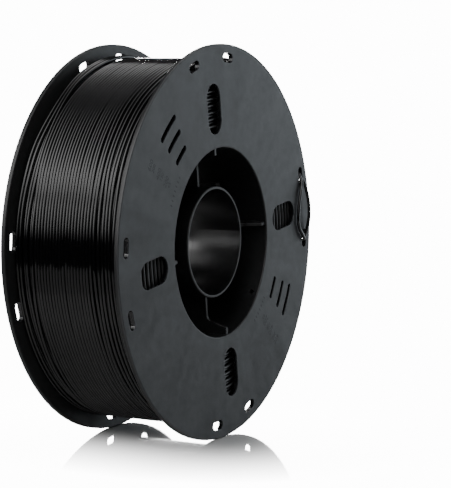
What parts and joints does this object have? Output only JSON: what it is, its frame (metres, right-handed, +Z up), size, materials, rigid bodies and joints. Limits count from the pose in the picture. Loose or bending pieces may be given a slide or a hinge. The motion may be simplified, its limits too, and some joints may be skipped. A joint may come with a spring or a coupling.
{
  "type": "filament spool",
  "caption": "Full spool of 1.75 mm printing filament: two snap-fitted moulded halves with windows, rim slots and an open hub, and the strand's end laced at the rim.",
  "frame": {"origin": "on the spool's axis, midway between the outer faces of the flanges", "axes": "the axis lies along Y, with the front flange towards -Y; +Z up, with the spool standing on its rims; the first spoke is rolled 7.5 degrees from +X"},
  "size_m": [0.2, 0.0695, 0.2],
  "materials": {
    "moulded_plastic": "fine matte moulded finish, satin inside the hub",
    "filament": "glossy extruded strand"
  },
  "bodies": {
    "root": {"front_half": "moulded_plastic", "rear_half": "moulded_plastic", "filament_start": "filament", "filament_winding": "filament", "filament_top_layer": "filament", "filament_tail": "filament"}
  },
  "joints": []
}
